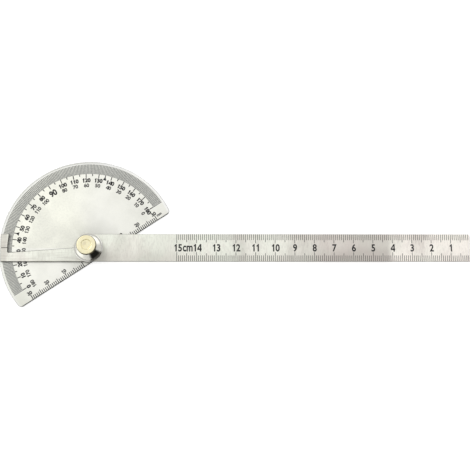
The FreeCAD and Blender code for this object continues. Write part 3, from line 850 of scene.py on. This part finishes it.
class PROTRACTOR_OT_degree_scale(bpy.types.Operator):
    """Degree lines, arrowheads and the two rows of figures on the head"""

    bl_idname = "protractor.degree_scale"
    bl_label = "Degree Scale"

    def execute(self, context):
        sizes = context.scene.protractor_degrees
        low, high = HEAD_TOP - FILL_DEPTH, HEAD_TOP + FACE_GAP
        degrees = np.arange(181)
        angles = self.angle_of(degrees)
        foot, tip = at_angle(sizes.ring_inner, angles), at_angle(sizes.ring_outer, angles)
        inner = at_angle(marked(degrees, sizes.ring_inner, sizes.five_inner, sizes.ten_inner), angles)
        long = degrees % 5 == 0
        lines = prisms(bars(inner[long], foot[long], sizes.long_width), low, high)
        arrows = prisms(self.arrowheads(sizes), low, high)
        engraved("long_degree_lines", "black_enamel", "head", lines, arrows)
        ring = bars(foot, tip, sizes.line_width)
        engraved("degree_lines", "worn_enamel", "head", prisms(ring, low, high))

        tens = [reading for reading in range(0, 181, 10) if reading != 90]
        outer = self.row(sizes.outer_figures, [(str(reading), reading) for reading in tens])
        bold = figures(outer, sizes.outer_height, sizes.outer_pitch, low, high, sizes.outer_weight)
        middle = self.row(sizes.right_angle_figures, [("90", 90)])
        height, pitch = sizes.right_angle_height, sizes.right_angle_pitch
        large = figures(middle, height, pitch, low, high, sizes.right_angle_weight)
        engraved("degree_figures", "black_enamel", "head", bold, large)
        counted_back = self.row(sizes.inner_figures, [(str(180 - reading), reading) for reading in tens])
        small = figures(counted_back, sizes.inner_height, sizes.inner_pitch, low, high, sizes.inner_weight)
        engraved("counted_back_figures", "thin_enamel", "head", small)
        return {"FINISHED"}

    @staticmethod
    def angle_of(reading):
        """The angle from +X of a reading in degrees."""
        return math.pi + READING - np.radians(reading)

    def arrowheads(self, sizes):
        """Triangles at half a right angle from both ends: one outer point and two flared inner ones."""
        point, back = sizes.arrow_point, sizes.arrow_back
        flare = 0.5 * (point - back) / back
        half = self.angle_of(np.array([45, 135]))
        corners = ((point, half), (back, half + flare), (back, half - flare))
        return np.stack([at_angle(*corner) for corner in corners], axis=1)

    def row(self, radius, readings):
        """A label for each (text, reading), its foot towards the pivot."""
        angles = [(text, self.angle_of(reading)) for text, reading in readings]
        return [(text, at_angle(radius, angle), angle - math.pi / 2) for text, angle in angles]


class PROTRACTOR_OT_base_scale(bpy.types.Operator):
    """Millimetre lines and figures along the straight edge of the head"""

    bl_idname = "protractor.base_scale"
    bl_label = "Base Scale"

    def execute(self, context):
        sizes = context.scene.protractor_base
        low, high = HEAD_TOP - FILL_DEPTH, HEAD_TOP + FACE_GAP
        steps = np.arange(sizes.span + 1)
        reach = np.tile(marked(steps, sizes.one_line, sizes.five_line, sizes.ten_line), 2)
        right = sizes.start + steps * MM
        across = np.concatenate([right, -right])
        edge = np.full(len(across), sizes.inset - sizes.drop)
        start, end = np.column_stack([across, edge]), np.column_stack([across, edge + reach])
        lines = turned(bars(start, end, sizes.line_width), READING)
        engraved("base_lines", "black_enamel", "head", prisms(lines, low, high))

        up = sizes.figures - sizes.drop
        spots = [
            (str(tens), side * (sizes.start + tens * MM), up)
            for tens in range(10, sizes.span + 1, 10)
            for side in (-1, 1)
        ]
        unit = [("mm", sizes.start + sizes.span * MM + sizes.unit_across, sizes.unit_up - sizes.drop)]
        labels, unit = (
            [(text, turned(np.array(spot), READING), READING) for text, *spot in row]
            for row in (spots, unit)
        )
        weight = sizes.figure_weight
        numbers = figures(labels, sizes.figure_height, sizes.figure_pitch, low, high, weight)
        letters = figures(unit, sizes.unit_height, sizes.unit_pitch, low, high, weight)
        engraved("base_figures", "black_enamel", "head", numbers, letters)
        return {"FINISHED"}


class PROTRACTOR_OT_ruler(bpy.types.Operator):
    """Millimetre lines and centimetre figures of the arm, and the index line on its tab"""

    bl_idname = "protractor.ruler"
    bl_label = "Ruler"

    def execute(self, context):
        sizes = context.scene.protractor_ruler
        low, high = ARM_TOP - FILL_DEPTH, ARM_TOP + FACE_GAP
        steps = np.arange(1, sizes.span + 1)
        reach = np.tile(marked(steps, sizes.one_line, sizes.five_line, sizes.ten_line), 2)
        across = np.tile(ARM_END - steps * MM, 2)
        side = np.repeat([1.0, -1.0], len(steps))
        outer = side * (ARM_HALF_WIDTH - sizes.inset)
        start, end = np.column_stack([across, outer]), np.column_stack([across, outer - side * reach])
        lines = bars(start, end, sizes.line_width)
        engraved("ruler_lines", "thin_enamel", "arm", prisms(lines, low, high))
        start, end = np.array([[sizes.index_gap - ARM_TAIL, 0.0]]), np.array([[-sizes.index_inner, 0.0]])
        line = bars(start, end, sizes.index_width)
        engraved("index_line", "black_enamel", "arm", prisms(line, low, high))

        last = sizes.span // 10
        nudges = {last: sizes.last_nudge, last - 1: sizes.next_nudge}
        labels = [
            (str(number), (ARM_END - number * 10 * MM + nudges.get(number, sizes.figure_nudge), 0.0), 0.0)
            for number in range(1, last + 1)
        ]
        rise = (sizes.unit_height - sizes.figure_height) / 2
        unit = [("cm", (ARM_END - sizes.span * MM + sizes.unit_across, rise), 0.0)]
        numbers = figures(labels, sizes.figure_height, sizes.figure_pitch, low, high, sizes.figure_weight)
        letters = figures(unit, sizes.unit_height, sizes.figure_pitch, low, high, sizes.unit_weight)
        engraved("ruler_figures", "black_enamel", "arm", numbers, letters)
        return {"FINISHED"}


GROOVE_SEGMENTS = 10
BELL_POINTS, RIM_POINTS, TOP_POINTS = 22, 6, 7


class PROTRACTOR_OT_thumb_nut(bpy.types.Operator):
    """The turned nut: a bell-shaped foot, a neck, and a knurled rim with a bore through it"""

    bl_idname = "protractor.thumb_nut"
    bl_label = "Thumb Nut"

    def execute(self, context):
        sizes = context.scene.protractor_nut
        shape = revolved(self.profile(sizes), sizes.knurls * GROOVE_SEGMENTS, self.knurl(sizes))
        material = nut_material(context.scene.protractor_finish)
        nut = new_piece("turned_thumb_nut", shape, material, "nut", smooth=True)
        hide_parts("thumb_nut")
        return {"FINISHED"}

    @staticmethod
    def profile(sizes):
        """Radius and height round the section: up the outside, over the top and down the bore.

        The skirt is a circular arc through its two ends, hollow outwards, with its points at even angles.
        """
        tall = NUT_TOP - NUT_FLOOR
        rim_floor = tall - sizes.rim_height
        foot, chamfer = NUT_FOOT_RADIUS, sizes.break_edge
        start = np.array([foot - chamfer, sizes.foot + chamfer])
        end = np.array([sizes.neck, sizes.skirt])
        chord = end - start
        half = np.linalg.norm(chord) / 2
        across = np.array([chord[1], -chord[0]]) / (2 * half)
        centre = (start + end) / 2 + across * math.sqrt(sizes.bell**2 - half**2)
        first, last = (math.atan2(*(point - centre)[::-1]) % (2 * math.pi) for point in (start, end))
        bell = centre + sizes.bell * at_angle(1.0, np.linspace(first, last, BELL_POINTS))
        rim, soft = sizes.rim, sizes.rim_chamfer
        rim_side = np.linspace(rim_floor + soft / 2, tall - soft, RIM_POINTS)
        outside = np.concatenate(
            [
                [(foot - chamfer, 0.0), (foot, chamfer), (foot, sizes.foot)],
                bell,
                [(sizes.neck, rim_floor - (rim - sizes.neck) / 2), (rim - soft / 2, rim_floor)],
                np.column_stack([np.full(RIM_POINTS, rim), rim_side]),
                [(rim - soft * 0.4, tall - soft * 0.12), (rim - soft, tall)],
            ]
        )
        top = np.linspace(rim - soft, sizes.bore + sizes.lead, TOP_POINTS + 1)[1:]
        top = np.column_stack([top, np.full(TOP_POINTS, tall)])
        bore = [(sizes.bore, tall - sizes.lead), (sizes.bore, sizes.lead), (sizes.bore + sizes.lead, 0.0)]
        profile = np.concatenate([outside, top, bore])
        profile[:, 1] += NUT_FLOOR
        return profile

    @staticmethod
    def knurl(sizes):
        """Straight V grooves: a saw wave of the angle on the rim's side, none elsewhere."""

        def taken_off(radius, height, angle):
            wave = np.abs((angle * sizes.knurls / (2 * np.pi)) % 1.0 - 0.5) * 2
            groove = np.clip(1.0 - wave * 1.5, 0.0, 1.0)
            on_rim = (radius > sizes.rim - sizes.rim_chamfer * 0.6) & (radius < sizes.rim + MM)
            on_rim &= height > NUT_TOP - sizes.rim_height - MM
            below_foot = height > NUT_FLOOR + sizes.foot * 3
            return sizes.knurl_depth * groove * on_rim * below_foot

        return taken_off


# The studio: level directions from the part, and the lamp.
WINDOW_SIDE = (0.643, 0.766)
SECOND_WINDOW_SIDE = (-0.866, -0.5)
WALL_SIDE = (0.77, -0.64)
DOORWAY_SIDE = (0.645, -0.764)
TENT_LEVEL = 0.9
LAMP_PLACE, LAMP_AIM, LAMP_SIZE = (-0.55, 0.40, 0.86), (0.0, 0.01, 0.0), 0.32
FLOOR_HALF = 2.0
FRAME_PIXELS = 470


class PROTRACTOR_OT_stage(bpy.types.Operator):
    """Pale floor, soft light from the upper left, and the camera"""

    bl_idname = "protractor.stage"
    bl_label = "Stage"

    def execute(self, context):
        stage = context.scene.protractor_stage
        self.floor(context.scene)
        self.sky(context.scene, stage)
        self.lamp(context.scene, stage)
        self.camera(context.scene, stage)
        context.scene.view_settings.view_transform = "Standard"
        return {"FINISHED"}

    @staticmethod
    def floor(scene):
        """White paper: diffuse, with a little light of its own for the eye, a gloss or a glass."""
        mesh = bpy.data.meshes.new("floor")
        corners = np.array([(-1, -1), (1, -1), (1, 1), (-1, 1)]) * FLOOR_HALF
        mesh.from_pydata([(x, y, -2 * FACE_GAP) for x, y in corners], [], [(0, 1, 2, 3)])
        material = bpy.data.materials.new("white_paper")
        material.use_nodes = True
        net = Net(material.node_tree)
        paper = net.add("ShaderNodeBsdfDiffuse", {"Color": (0.93, 0.93, 0.93)})
        rays = net.add("ShaderNodeLightPath").outputs
        seen = net.math("MAXIMUM", rays["Is Camera Ray"], rays["Is Glossy Ray"])
        seen = net.math("MAXIMUM", seen, rays["Is Transmission Ray"])
        seen = net.product(seen, 0.45)
        glow = net.add("ShaderNodeEmission", {"Color": (1.0, 1.0, 1.0), "Strength": seen})
        both = net.add("ShaderNodeAddShader", {0: paper.outputs[0], 1: glow.outputs[0]})
        net.add("ShaderNodeOutputMaterial", {"Surface": both.outputs[0]})
        mesh.materials.append(material)
        floor = bpy.data.objects.new("floor", mesh)
        scene.collection.objects.link(floor)

    @staticmethod
    def sky(scene, stage):
        """Pale tent, greyer overhead on the lamp's side, with two windows, a grey wall and a dull doorway.

        Every part is a smooth step of one coordinate of the direction, or of its bearing. The camera itself
        sees white.
        """
        world = bpy.data.worlds.new("studio")
        scene.world = world
        world.use_nodes = True
        net = Net(world.node_tree)
        direction = net.add("ShaderNodeTexCoord").outputs["Generated"]
        x, _, z = net.split(direction)
        roof = net.math("SUBTRACT", net.step(x, -0.05, 0.32, 0.52, 1.30), TENT_LEVEL)
        level = net.math("ADD", net.product(roof, net.step(z, 0.55, 0.85)), TENT_LEVEL)
        for side, near, share in ((WINDOW_SIDE, 0.985, 0.5), (SECOND_WINDOW_SIDE, 0.98, 0.35)):
            window = bearing_mask(net, direction, side, 0.86, near)
            window = net.product(window, net.step(z, 0.3, 0.65, share, 0.0))
            level = net.math("ADD", level, window)
        for side, far, near, low, high, share in (
            (WALL_SIDE, -0.1, 0.9, 0.6, 0.9, 0.24), (DOORWAY_SIDE, 0.73, 0.90, 0.72, 0.92, 0.42)
        ):
            darker = bearing_mask(net, direction, side, far, near)
            darker = net.product(darker, net.step(z, low, high, share, 0.0))
            level = net.product(level, net.math("SUBTRACT", 1.0, darker))
        seen = net.add("ShaderNodeLightPath").outputs["Is Camera Ray"]
        strength = net.math("MAXIMUM", net.product(level, stage.sky), seen)
        background = net.add("ShaderNodeBackground", {"Color": (1.0, 1.0, 1.0), "Strength": strength})
        net.add("ShaderNodeOutputWorld", {"Surface": background.outputs[0]})

    @staticmethod
    def lamp(scene, stage):
        """One soft square lamp at the upper left, aimed at the head."""
        light = bpy.data.lights.new("key", "AREA")
        light.shape = "SQUARE"
        light.size = LAMP_SIZE
        light.energy = stage.key
        key = bpy.data.objects.new("key", light)
        key.location = LAMP_PLACE
        key.rotation_euler = (Vector(LAMP_AIM) - Vector(LAMP_PLACE)).to_track_quat("-Z", "Y").to_euler()
        scene.collection.objects.link(key)

    @staticmethod
    def camera(scene, stage):
        """A point p is seen at R p + t: R is roll after pitch after yaw, and t the pivot in the view."""
        turn = (
            Matrix.Rotation(stage.roll, 3, "Z")
            @ Matrix.Rotation(stage.pitch, 3, "X")
            @ Matrix.Rotation(stage.yaw, 3, "Y")
        )
        pivot = Vector((stage.shift_x, stage.shift_y, -stage.distance))
        lens = bpy.data.cameras.new("camera")
        lens.sensor_width = 36.0
        lens.lens = stage.focal_px * lens.sensor_width / FRAME_PIXELS
        lens.clip_start = 0.01
        camera = bpy.data.objects.new("camera", lens)
        back = turn.transposed()
        camera.matrix_world = Matrix.Translation(Vector((0, 0, ARM_TOP)) - back @ pivot) @ back.to_4x4()
        scene.collection.objects.link(camera)
        scene.camera = camera


class PROTRACTOR_PT_panel(bpy.types.Panel):
    """Lists the steps that dress the protractor"""

    bl_idname = "PROTRACTOR_PT_panel"
    bl_label = "Protractor"
    bl_space_type = "VIEW_3D"
    bl_region_type = "UI"
    bl_category = "Protractor"

    def draw(self, context):
        layout = self.layout
        for operator in OPERATORS:
            layout.operator(operator.bl_idname)
        for settings in SETTINGS:
            column = layout.column(align=True)
            column.label(text=settings.replace("protractor_", "").replace("_", " ").title())
            group = getattr(context.scene, settings)
            for name in group.bl_rna.properties.keys():
                if name not in ("rna_type", "name"):
                    column.prop(group, name)


SETTINGS = {
    "protractor_degrees": DegreeScaleSettings,
    "protractor_base": BaseScaleSettings,
    "protractor_ruler": RulerSettings,
    "protractor_nut": NutSettings,
    "protractor_finish": FinishSettings,
    "protractor_stage": StageSettings,
}
OPERATORS = (
    PROTRACTOR_OT_sheet_finishes,
    PROTRACTOR_OT_degree_scale,
    PROTRACTOR_OT_base_scale,
    PROTRACTOR_OT_ruler,
    PROTRACTOR_OT_thumb_nut,
    PROTRACTOR_OT_stage,
)


def register():
    for name, settings in SETTINGS.items():
        bpy.utils.register_class(settings)
        setattr(bpy.types.Scene, name, PointerProperty(type=settings))
    for operator in OPERATORS:
        bpy.utils.register_class(operator)
    bpy.utils.register_class(PROTRACTOR_PT_panel)


def unregister():
    bpy.utils.unregister_class(PROTRACTOR_PT_panel)
    for operator in reversed(OPERATORS):
        bpy.utils.unregister_class(operator)
    for name, settings in reversed(SETTINGS.items()):
        delattr(bpy.types.Scene, name)
        bpy.utils.unregister_class(settings)


def main():
    register()
    bpy.ops.protractor.sheet_finishes()
    bpy.ops.protractor.degree_scale()
    bpy.ops.protractor.base_scale()
    bpy.ops.protractor.ruler()
    bpy.ops.protractor.thumb_nut()
    bpy.ops.protractor.stage()


if __name__ == "__main__":
    main()
